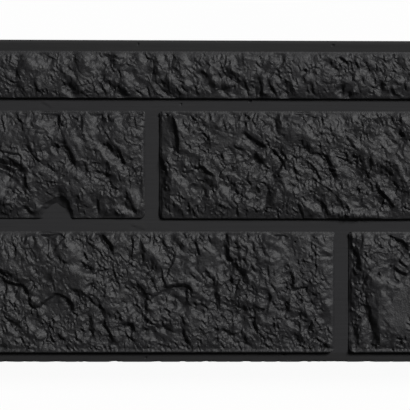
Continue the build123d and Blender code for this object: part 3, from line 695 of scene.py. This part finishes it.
def rock_break(x, y, line, face, drop, reach):
    """A tilted face along a line: high on its left hand, low on its right, and fading into the rock."""
    result = np.zeros(len(x))
    fade = FADE * reach
    low, high = line.min(axis=0) - fade - face, line.max(axis=0) + fade + face
    near = np.nonzero((x > low[0]) & (x < high[0]) & (y > low[1]) & (y < high[1]))[0]
    if len(near) == 0:
        return result
    x, y = x[near], y[near]
    side, travelled, beyond, length = beside(x, y, line)
    overrun = END_OVERRUN * face
    ends = np.minimum(travelled, length - travelled) + overrun - beyond
    taper = eased(ends / (overrun + min(TAPER_SHARE * length, LONGEST_TAPER)))
    taper *= UNEVEN_MIDDLE + UNEVEN_SWING * facets(x, y, UNEVEN_SIZE, 1.0, UNEVEN_SEED)
    high_side = HIGH_SHARE * np.maximum(1.0 + (side + 0.5 * face) / fade, 0.0) ** 2
    low_side = -LOW_SHARE * np.maximum(1.0 - (side - 0.5 * face) / fade, 0.0) ** 2
    ramp = 0.5 * (HIGH_SHARE - LOW_SHARE) - side / face
    profile = np.where(side < -0.5 * face, high_side, np.where(side > 0.5 * face, low_side, ramp))
    result[near] = drop * taper * profile
    return result


def break_reach(face):
    """How far a break of some width reaches into the rock beside it."""
    return LEAST_REACH + REACH_PER_WIDTH * face


def drop_of(slope, face):
    """Height of a face from its slope and width, kept within what the stones' relief has room for."""
    return math.copysign(min(abs(slope) * face, DEEPEST_BREAK), slope)


def photo_breaks():
    """Every break that follows the photograph: line, width and drop."""
    kinds = (
        (STEEP_BREAKS, STEEP_NARROWING, BREAK_SLOPE),
        (FALLING_FACES, 1.0, FALL_SLOPE),
        (RISING_FACES, RISING_NARROWING, -RISE_SLOPE),
        (BROAD_FALLS, 1.0, BROAD_FALL_SLOPE),
        (BROAD_RISES, 1.0, -BROAD_RISE_SLOPE),
    )
    breaks = []
    for faces, narrowing, slope in kinds:
        for width, *points in faces:
            face = width * PHOTO_SCALE * narrowing
            breaks.append((line_on_rock(points), face, drop_of(slope, face)))
    return breaks


def random_breaks(low, high, area, kinds, run, seed):
    """Breaks like those of the photograph, anywhere in a rectangle: line, width and drop."""
    chance = np.random.default_rng(seed)
    shares = [kind[0] for kind in kinds]
    breaks = []
    for _ in range(round((high[0] - low[0]) * (high[1] - low[1]) / area)):
        _, slope, narrowest, widest = kinds[chance.choice(len(kinds), p=shares)]
        face = chance.uniform(narrowest, widest)
        points = [chance.uniform(low, high)]
        heading = GRAIN_ANGLE + chance.normal(0.0, HEADING_SPREAD)
        step = chance.uniform(*run)
        for _ in range(2):
            points.append(points[-1] + step * np.array((math.cos(heading), math.sin(heading))))
            heading += chance.normal(0.0, TURN_SPREAD)
        breaks.append((np.array(points), face, drop_of(slope, face)))
    return breaks


def cad_face():
    """The solid model's own surface, to be looked up from above."""
    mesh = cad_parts[BOARD].data
    mesh.calc_loop_triangles()
    corners = [v.co.copy() for v in mesh.vertices]
    return BVHTree.FromPolygons(corners, [tuple(t.vertices) for t in mesh.loop_triangles])


def solid_height(surface, x, y, left, right, low, high):
    """Height of the solid stone over the joint floor, with its facets' creases softened."""
    down = Vector((0, 0, -1))
    above = 2 * cad_high.z
    columns = even_steps(left + SOLID_INSET, right - SOLID_INSET, SOLID_CELL)
    rows = even_steps(low + SOLID_INSET, high - SOLID_INSET, SOLID_CELL)
    heights = np.empty((len(columns), len(rows)))
    for i, px in enumerate(columns):
        for k, py in enumerate(rows):
            hit = surface.ray_cast(Vector((px * MM, py * MM, above)), down)[0]
            heights[i, k] = hit.z / MM - JOINT_FLOOR
    for _ in range(SOLID_PASSES):
        padded = np.pad(heights, 1, mode="edge")
        heights = 0.25 * padded[:-2, 1:-1] + 0.5 * heights + 0.25 * padded[2:, 1:-1]
        padded = np.pad(heights, 1, mode="edge")
        heights = 0.25 * padded[1:-1, :-2] + 0.5 * heights + 0.25 * padded[1:-1, 2:]
    u = np.clip((x - columns[0]) / (columns[1] - columns[0]), 0, len(columns) - 1.001)
    v = np.clip((y - rows[0]) / (rows[1] - rows[0]), 0, len(rows) - 1.001)
    i, k = u.astype(int), v.astype(int)
    return between(heights, (i, i + 1), (k, k + 1), u - i, v - k)


def repeated(x):
    """Places along the board, brought back to the run of stones in the photograph."""
    return (x - SEAM) % STONE_PITCH + SEAM


def in_photo(x):
    """1 where the photograph shows the rock, fading to 0 outside it."""
    half = 0.5 * PHOTO_SIZE * PHOTO_SCALE
    middle = on_board((0.5 * PHOTO_SIZE, 0.5 * PHOTO_SIZE))[0]
    return 1.0 - eased((np.abs(x - middle) - half) / PHOTO_FADE)


def recess_cap(x, y, left, right, low, high):
    """The height that a stone's hollows leave it."""
    cap = np.full(len(x), 2.0 * STONE_RISE)
    for level, away_rise, wall, *points in RECESSES:
        line = line_on_rock(points)
        if not low < line[:, 1].mean() < high:
            continue
        for turn in (-2, -1, 0, 1, 2):
            there = line + (turn * STONE_PITCH, 0.0)
            if left < there[:, 0].mean() < right:
                side, _, beyond, _ = beside(x, y, there)
                ground = level + np.where(side > 0, away_rise * side, -wall * side) + RECESS_END_RISE * beyond
                cap = np.minimum(cap, np.maximum(ground, LOWEST_GROUND))
    return cap


def spalled(x, y, low):
    """1 inside the piece that has broken off one stone's lower edge."""
    corners = on_board(SPALL, RELIEF_LEVEL)
    if abs(corners[:, 1].min() - low) > BED_JOINT:
        return np.zeros(len(x))
    jag, size, seed = SPALL_JAG
    inside = np.full(len(x), np.inf)
    for (ax, ay), (bx, by), slope in zip(corners[:-1], corners[1:], SPALL_SLOPES):
        length = math.hypot(bx - ax, by - ay)
        depth = ((x - ax) * (by - ay) - (y - ay) * (bx - ax)) / length
        depth = depth + jag * facets(x, y, size, 1.0, seed)
        inside = np.minimum(inside, depth / (slope * PHOTO_SCALE))
    return np.clip(inside, 0.0, 1.0)


def blow_holes(x, y, level, depth, floor):
    """Depth of the blow holes in a surface at a level over the joint floor."""
    total = np.zeros(len(x))
    for px, py, radius in BLOW_HOLES:
        size = radius * PHOTO_SCALE
        hole = oval(x, y, on_board((px, py), level), (size, size))
        total += depth * (1.0 - eased(hole - floor))
    return total


def lower_edge(at, row):
    """Height of a stone's lower edge along the board."""
    if row != MIDDLE_ROW:
        return np.full(len(at), LOWER_EDGE)
    pixels, heights = np.transpose(MIDDLE_LOWER_EDGE)
    along = on_board(np.stack((pixels, pixels), axis=1), RELIEF_LEVEL)[:, 0]
    return np.interp(at, along, heights)


def with_edges(base, detail, foot, from_left, from_right, from_low, from_high):
    """Joins the stone's main form and its broken detail, brought down to even edges all round."""
    left_cap = np.minimum(LEFT_FOOT + LEFT_WALL * from_left, LEFT_SHOULDER + LEFT_RISE * from_left)
    base = softer_least(base, left_cap)
    base = softer_least(base, foot + LOWER_SHOULDER + LOWER_RISE * from_low)
    base = softer_least(base, UPPER_EDGE + UPPER_RISE * from_high)
    base = softer_least(base, RIGHT_EDGE + RIGHT_RISE * from_right)
    nearest = np.minimum(np.minimum(from_low, from_high), from_right)
    calm = calmed(EDGE_CALM, nearest, EDGE_CALM_WIDTH) * calmed(UPPER_CALM, from_high, UPPER_CALM_WIDTH)
    height = base + calm * detail
    height = MIDDLE_LEVEL + HALF_RANGE * np.tanh((height - MIDDLE_LEVEL) / HALF_RANGE)
    arris_back = ARRIS_RISE * ARRIS_WIDTH - ARRIS_FALL * (from_high - ARRIS_WIDTH)
    height = np.maximum(height, ARRIS_FOOT + np.minimum(ARRIS_RISE * from_high, arris_back))
    return height + (foot - height) * (1.0 - eased(from_low / LOWER_STEP))


def roughness_of(x, y, at):
    """How rough the fine relief is: about 1, and much less on the smooth plates."""
    smooth = np.zeros(len(x))
    for plate in PLATES:
        away = oval_on_rock(at, y, *plate)
        smooth = np.maximum(smooth, 1.0 - eased((away - PLATE_CORE) / PLATE_EDGE))
    return (1.0 - PLATE_CALM * smooth) * (1.0 + ROUGH_SWING * lumps(x, y, ROUGH_SIZE, ROUGH_SEED))


def rock_detail(x, y, left, right, low, high, seed):
    """Everything finer than the solid's own facets, as height over them."""
    at = repeated(x)
    rough = roughness_of(x, y, at)
    jag_x, jag_y = (facets(x, y, JAG_SIZE, 1.0, jag_seed) for jag_seed in JAG_SEEDS)
    bend_x, bend_y = (facets(x, y, BEND_SIZE, 1.0, bend_seed) for bend_seed in BEND_SEEDS)
    rise, *layer = BROAD_FACETS
    height = rise * facets(x, y, *layer)
    for rise, *layer in FINE_FACETS:
        height += rise * rough * facets(x, y, *layer)
    for rise, *layer in CHIP_LAYERS:
        height += rise * rough * chips(x + CHIP_JAG * jag_x, y + CHIP_JAG * jag_y, *layer)
    height += GRIT * rough * np.random.default_rng(seed).uniform(-1, 1, len(x))

    line_x, line_y = at + BEND * bend_x + LINE_JAG * jag_x, y + BEND * bend_y + LINE_JAG * jag_y
    for line, face, drop in photo_breaks():
        if line[:, 1].max() > low - COURSE_REACH and line[:, 1].min() < high + COURSE_REACH:
            height += rock_break(line_x, line_y, line, face, drop, break_reach(face))
    corners = (left, low), (right, high)
    for line, face, drop in random_breaks(*corners, FLAKE_AREA, FLAKE_KINDS, FLAKE_RUN, seed + 1):
        height += rough * rock_break(x, y, line, face, drop, FLAKE_REACH)
    outside = 1.0 - in_photo(at)
    if outside.max() > 0:
        for line, face, drop in random_breaks(*corners, BREAK_AREA, BREAK_KINDS, BREAK_RUN, seed):
            height += outside * rock_break(x, y, line, face, drop, break_reach(face))

    height -= blow_holes(at, y, RELIEF_LEVEL, ROCK_HOLE_DEPTH, ROCK_HOLE_FLOOR)
    for *place, rise in ROUNDS:
        away = oval_on_rock(at, y, *place)
        height += rise * np.maximum(1.0 - away * away, 0.0)
    return height


def rock_face(x, y, left, right, low, high, row, surface, seed):
    """Height of one stone's broken face over the joint floor."""
    at = repeated(x)
    base = solid_height(surface, x, y, left, right, low, high)
    detail = rock_detail(x, y, left, right, low, high, seed)
    if row == TOP_ROW:
        detail *= TOP_COURSE_CALM
    height = with_edges(base, detail, lower_edge(at, row), x - left, right - x, y - low, high - y)
    height = softer_least(height, recess_cap(x, y, left, right, low, high) + RECESS_DETAIL * detail)
    if row == BOTTOM_ROW:
        height += LIP_RISE * (1.0 - eased((y - low) / LIP_WIDTH))
    height += (SPALL_FLOOR - height) * spalled(at, y, low)
    return np.clip(height, SPALL_FLOOR, STONE_RISE - CLEARANCE)


def rounded_corners(x, y, left, right, low, high):
    """Draws the corners of a rectangle of points in to round ones."""
    middle = 0.5 * (left + right)
    for corner_y, inwards, radius in ((high, -1, TOP_CORNER), (low, 1, BOTTOM_CORNER)):
        u = (np.abs(x - middle) - (0.5 * (right - left) - radius)) / radius
        v = -inwards * (y - corner_y - inwards * radius) / radius
        corner = (u > 0) & (v > 0)
        new_u = u * np.sqrt(np.maximum(1 - v * v / 2, 0))
        new_v = v * np.sqrt(np.maximum(1 - u * u / 2, 0))
        x = np.where(corner, x + np.sign(x - middle) * (new_u - u) * radius, x)
        y = np.where(corner, y - inwards * (new_v - v) * radius, y)
    return x, y


def relief_block(name, columns, rows, place_points, foot, spread):
    """A closed block: a modelled face of columns and rows, walls down to its foot, and a flat bottom."""
    bm = bmesh.new()
    bmesh.ops.create_grid(bm, x_segments=len(columns) - 1, y_segments=len(rows) - 1, size=0.5)
    mesh = bpy.data.meshes.new(name)
    bm.to_mesh(mesh)
    bm.free()
    points = np.empty(3 * len(mesh.vertices), np.float32)
    mesh.vertices.foreach_get("co", points)
    points = points.reshape(-1, 3)
    column = np.rint((points[:, 0] + 0.5) * (len(columns) - 1)).astype(int)
    row = np.rint((points[:, 1] + 0.5) * (len(rows) - 1)).astype(int)
    x, y, z = place_points(columns[column], rows[row])
    placed = np.stack((x, y, z), axis=1) * MM
    mesh.vertices.foreach_set("co", placed.astype(np.float32).ravel())

    bm = bmesh.new()
    bm.from_mesh(mesh)
    middle = Vector((0.5 * (columns[0] + columns[-1]) * MM, 0.5 * (rows[0] + rows[-1]) * MM, 0))
    half_x, half_y = 0.5 * (columns[-1] - columns[0]) * MM, 0.5 * (rows[-1] - rows[0]) * MM
    rim = [edge for edge in bm.edges if edge.is_boundary]
    walls = bmesh.ops.extrude_edge_only(bm, edges=rim)
    for vert in walls["geom"]:
        if isinstance(vert, bmesh.types.BMVert):
            vert.co.x = middle.x + (vert.co.x - middle.x) * (1 + spread * MM / half_x)
            vert.co.y = middle.y + (vert.co.y - middle.y) * (1 + spread * MM / half_y)
            vert.co.z = foot * MM
    bmesh.ops.edgeloop_fill(bm, edges=[edge for edge in bm.edges if edge.is_boundary])
    bmesh.ops.recalc_face_normals(bm, faces=bm.faces)
    for face in bm.faces:
        face.smooth = len(face.verts) == 4
    bm.to_mesh(mesh)
    bm.free()
    mesh.set_sharp_from_angle(angle=CREASE)
    piece = bpy.data.objects.new(name, mesh)
    bpy.context.scene.collection.objects.link(piece)
    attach(piece, "root")
    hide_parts(BOARD)
    return piece


def stone_grid(left, right, low, high):
    """Columns and rows of a stone's face, closer together where the photograph shows it."""
    shown_left = on_board((0, 0))[0] - VIEW_MARGIN
    shown_right = on_board((PHOTO_SIZE, 0))[0] + VIEW_MARGIN
    stops = [left] + [stop for stop in (shown_left, shown_right) if left < stop < right] + [right]
    columns = []
    for start, end in zip(stops[:-1], stops[1:]):
        shown = shown_left < 0.5 * (start + end) < shown_right
        columns += list(even_steps(start, end, CELL if shown else FAR_CELL))[:-1]
    in_view = left < shown_right and right > shown_left
    return np.array(columns + [right]), even_steps(low, high, CELL if in_view else FAR_CELL)


def courses():
    """Low and high edge of each course, from the top one down."""
    bottom_course = BOARD_HEIGHT - TOP_MARGIN - TOP_COURSE - MIDDLE_COURSE - 2 * BED_JOINT - BOTTOM_MARGIN
    high = BOARD_HEIGHT / 2 - TOP_MARGIN
    edges = []
    for course in (TOP_COURSE, MIDDLE_COURSE, bottom_course):
        edges.append((high - course, high))
        high -= course + BED_JOINT
    return edges


def stone_ends(row):
    """Left and right end of each stone in a course."""
    face_end = BOARD_LENGTH / 2 - END_TONGUE
    first_joint = (row - 1.5) * STONE_PITCH / 3
    joints = [first_joint + turn * STONE_PITCH for turn in range(-3, 4)]
    joints = [joint for joint in joints if abs(joint) < face_end - PERPEND_JOINT / 2 - SHORTEST_STONE]
    lefts = [-face_end] + [joint + PERPEND_JOINT / 2 for joint in joints]
    rights = [joint - PERPEND_JOINT / 2 for joint in joints] + [face_end]
    return list(zip(lefts, rights))


def make_stone(name, left, right, low, high, row, surface, seed):
    """One rock-faced stone of the casting."""
    left, right, low, high = left + WALL_INSET, right - WALL_INSET, low + WALL_INSET, high - WALL_INSET

    def place_points(x, y):
        z = JOINT_FLOOR + rock_face(x, y, left, right, low, high, row, surface, seed)
        x, y = rounded_corners(x, y, left, right, low, high)
        return x, y, z

    columns, rows = stone_grid(left, right, low, high)
    return relief_block(name, columns, rows, place_points, JOINT_FLOOR - WALL_FOOT, WALL_INSET)


def slab_rows():
    """Rows of the slab's face from the foot up, close together in the joints and not under the stones."""
    arris_foot = BOARD_HEIGHT / 2 - TOP_ARRIS
    edges = [-BOARD_HEIGHT / 2]
    for low, high in reversed(courses()):
        edges += [low, high]
    edges.append(arris_foot)
    rows = []
    for k, (start, end) in enumerate(zip(edges[:-1], edges[1:])):
        rows += list(even_steps(start, end, SLAB_CELL if k % 2 == 0 else HIDDEN_CELL))[:-1]
    rows += [arris_foot + TOP_ARRIS * math.sin(angle) for angle in np.linspace(0, math.pi / 2, ARRIS_ROWS)]
    return np.array(rows)


def slab_face(x, y):
    """Places the slab's points: the rounded top arris, the margins and joints, and a nicked lower edge."""
    half = BOARD_HEIGHT / 2
    rounding = np.clip((y - (half - TOP_ARRIS)) / TOP_ARRIS, 0.0, 1.0)
    z = JOINT_FLOOR - TOP_ARRIS * (1 - np.sqrt(np.maximum(1 - rounding * rounding, 0.0)))
    for depth, squeeze, size, seed in CAST_WAVES:
        z += depth * (lumps(squeeze * x, y, size, seed) - 1.0)
    z -= blow_holes(x, y, 0.0, CAST_HOLE_DEPTH, CAST_HOLE_FLOOR)
    for points in SCRATCHES:
        line = on_board(np.reshape(points, (-1, 2)))
        z += rock_break(x, y, line, SCRATCH_WIDTH, SCRATCH_DROP, SCRATCH_REACH)
    nicked = np.maximum(sum(share * lumps(x, y, size, seed) for share, size, seed in NICKS), 0.0)
    nicked *= 1.0 - eased((y + half) / NICK_WIDTH)
    return x, y + NICK_INSET * nicked, z - NICK_DROP * nicked


def make_slab():
    """The slab behind the stones, with its margins, joint floors and end tongues."""
    columns = even_steps(-BOARD_LENGTH / 2, BOARD_LENGTH / 2, SLAB_CELL)
    return relief_block("cast_slab", columns, slab_rows(), slab_face, 0.0, 0.0)


class Value:
    """A shader value that Python expressions can be written with."""

    def __init__(self, tree, socket):
        self.tree = tree
        self.socket = socket

    def combine(self, operation, first, second):
        return self.tree.node("ShaderNodeMath", {"operation": operation}, {0: first, 1: second})[0]

    def __add__(self, other):
        return self.combine("ADD", self, other)

    def __radd__(self, other):
        return self.combine("ADD", other, self)

    def __mul__(self, other):
        return self.combine("MULTIPLY", self, other)

    def __rmul__(self, other):
        return self.combine("MULTIPLY", other, self)


class Finish:
    """One material's node tree."""

    def __init__(self, name):
        self.material = bpy.data.materials.new(name)
        self.material.use_nodes = True
        self.nodes = self.material.node_tree.nodes
        self.links = self.material.node_tree.links
        self.nodes.clear()

    def node(self, kind, settings=None, inputs=None):
        """A new node with its settings made first and then its sockets; returns its outputs as values."""
        made = self.nodes.new(kind)
        for key, value in (settings or {}).items():
            setattr(made, key, value)
        for key, value in (inputs or {}).items():
            if isinstance(value, Value):
                self.links.new(value.socket, made.inputs[key])
            else:
                made.inputs[key].default_value = value
        return [Value(self, socket) for socket in made.outputs]

    def blend(self, share, first, second):
        """A colour between two others."""
        return self.node("ShaderNodeMix", {"data_type": "RGBA"}, {0: share, 6: first, 7: second})[2]

    def place(self):
        """Object coordinates."""
        return self.node("ShaderNodeTexCoord")[3]

    def noise(self, stretch, scale, detail=4.0, roughness=0.55):
        """Noise from 0 to 1, on object coordinates with each axis scaled."""
        place = self.node("ShaderNodeMapping", {}, {"Vector": self.place(), "Scale": stretch})[0]
        inputs = {"Vector": place, "Scale": scale, "Detail": detail, "Roughness": roughness}
        return self.node("ShaderNodeTexNoise", {}, inputs)[0]

    def over(self, level):
        """1 above a level along Y, in metres, and 0 below it."""
        up = self.node("ShaderNodeSeparateXYZ", {}, {0: self.place()})[1]
        return self.node("ShaderNodeMath", {"operation": "GREATER_THAN"}, {0: up, 1: level})[0]

    def shown_by(self, shader):
        """Makes a shader the material's surface."""
        self.node("ShaderNodeOutputMaterial", {}, {"Surface": shader})
        return self.material


def concrete(name, shade, sheen, grain_depth, streaks):
    """Anthracite cast concrete: a neutral to bluish grey with a fine sandy grain, streaks, a skin, and
    painted shade on the margins.
    """
    finish = Finish(name)
    cloud = finish.noise(EVEN, CLOUD_SCALE)
    sand = finish.noise(EVEN, SAND_SCALE, detail=3.0, roughness=0.65)
    streak = finish.noise(DRAWN_OUT, STREAK_SCALE, detail=3.0)
    neutral, bluish = ([*(part * shade for part in tint), 1] for tint in (NEUTRAL_TINT, BLUISH_TINT))
    colour = finish.blend(cloud, neutral, bluish)
    colour = finish.blend(SAND_SHARE * sand, colour, SAND_SHADE)
    # Painted shade over the top margin's lit arris, and over the margin under the bottom course
    colour = finish.blend(finish.over(TOP_PAINTED_SHADE_Y), colour, TOP_PAINTED_SHADE)
    colour = finish.blend(finish.over(FOOT_PAINTED_SHADE_Y), FOOT_PAINTED_SHADE, colour)
    colour = finish.blend(streaks * streak, colour, STREAK_SHADE)
    roughness = sheen + ROUGHNESS_SWING * cloud + ROUGHNESS_SWING * sand
    height = grain_depth * sand + streaks * streak
    bump = {"Strength": GRAIN_STRENGTH, "Distance": MM, "Height": height}
    normal = finish.node("ShaderNodeBump", {}, bump)[0]
    inputs = {"Base Color": colour, "Roughness": roughness, "Normal": normal, "Specular IOR Level": SPECULAR}
    return finish.shown_by(finish.node("ShaderNodeBsdfPrincipled", {}, inputs)[0])


def white_floor():
    """A white floor that keeps a faint shadow."""
    finish = Finish("white_floor")
    path = finish.node("ShaderNodeLightPath")
    camera, glossy, transmission = path[0], path[3], path[6]
    looked_at = camera + glossy + transmission
    diffuse = finish.node("ShaderNodeBsdfDiffuse", {}, {"Color": (0.9, 0.9, 0.9, 1)})[0]
    glow = finish.node("ShaderNodeEmission", {}, {"Color": (1, 1, 1, 1), "Strength": 1.0})[0]
    mixed = finish.node("ShaderNodeMixShader", {}, {0: FLOOR_GLOW * looked_at, 1: diffuse, 2: glow})[0]
    return finish.shown_by(mixed)


def make_floor():
    """The pale floor that the board lies on."""
    bm = bmesh.new()
    bmesh.ops.create_grid(bm, x_segments=1, y_segments=1, size=FLOOR_HALF)
    bmesh.ops.translate(bm, verts=bm.verts, vec=(0, 0, -FLOOR_DROP))
    mesh = bpy.data.meshes.new("floor")
    bm.to_mesh(mesh)
    bm.free()
    floor = bpy.data.objects.new("floor", mesh)
    bpy.context.scene.collection.objects.link(floor)
    mesh.materials.append(white_floor())


def make_light():
    """A key light from above and to the right of the photograph, and a weak fill from all round."""
    across = math.cos(KEY_RISE)
    toward = Vector((math.cos(KEY_TURN) * across, math.sin(KEY_TURN) * across, math.sin(KEY_RISE)))
    lamp = bpy.data.lights.new("key", "SUN")
    lamp.energy = KEY_STRENGTH
    lamp.angle = KEY_SOFTNESS
    key = bpy.data.objects.new("key", lamp)
    key.rotation_euler = toward.to_track_quat("Z", "Y").to_euler()
    bpy.context.scene.collection.objects.link(key)
    world = bpy.data.worlds.new("fill")
    world.use_nodes = True
    fill = world.node_tree.nodes["Background"]
    fill.inputs["Color"].default_value = (1, 1, 1, 1)
    fill.inputs["Strength"].default_value = FILL_STRENGTH
    bpy.context.scene.world = world


def make_camera():
    """A long lens above the part of the board that the photograph shows."""
    data = bpy.data.cameras.new("camera")
    data.lens = LENS
    data.sensor_width = SENSOR
    camera = bpy.data.objects.new("camera", data)
    camera.location = VIEW_EYE * MM
    camera.rotation_euler = VIEW_TURN.to_euler()
    bpy.context.scene.collection.objects.link(camera)
    bpy.context.scene.camera = camera


def make_board():
    """Every piece of the casting."""
    surface = cad_face()
    rock = concrete(*ROCK_FINISH)
    slab = make_slab()
    slab.data.materials.append(concrete(*CAST_FINISH))
    for row, (low, high) in enumerate(courses()):
        for place, (left, right) in enumerate(stone_ends(row), start=1):
            seed = 1000 * (row + 1) + 100 * place
            name = f"{COURSE_NAMES[row]}_stone_{place}"
            stone = make_stone(name, left, right, low, high, row, surface, seed)
            stone.data.materials.append(rock)


make_board()
make_floor()
make_light()
make_camera()
bpy.context.scene.view_settings.view_transform = "Standard"
